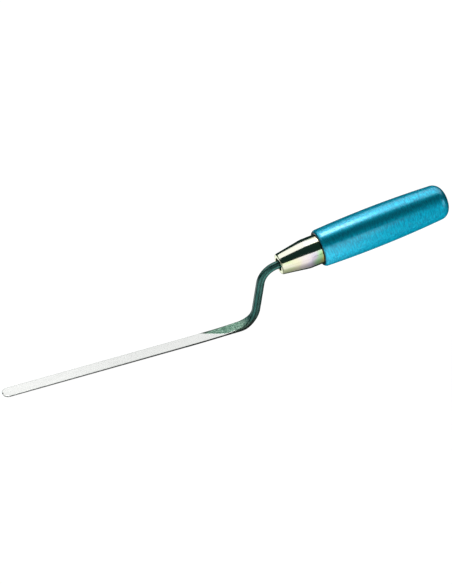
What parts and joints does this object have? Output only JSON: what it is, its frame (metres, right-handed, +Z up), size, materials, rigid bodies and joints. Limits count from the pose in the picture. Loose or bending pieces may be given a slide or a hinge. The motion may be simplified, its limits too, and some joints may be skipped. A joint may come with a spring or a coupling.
{
  "type": "pointing trowel",
  "caption": "Narrow straight pointing trowel blade with a rounded tip, S-bent eight-sided neck, tapered metal ferrule and turned barrel-shaped handle.",
  "frame": {"origin": "under the middle of the whole tool, in the plane of the blade's underside", "axes": "+X along the blade from its tip towards the handle, +Y across the blade, +Z up from the blade's underside"},
  "size_m": [0.35, 0.03, 0.082],
  "materials": {
    "forged_steel": "ground bright on the blade, dark green-black lacquer over forging scale on the root and neck",
    "plated_sheet": "polished zinc plate with a faint yellow-green iridescence",
    "lacquered_wood": "pearly translucent blue lacquer over turned wood"
  },
  "bodies": {
    "root": {"blade_and_neck": "forged_steel", "ferrule": "plated_sheet", "handle": "lacquered_wood"}
  },
  "joints": []
}
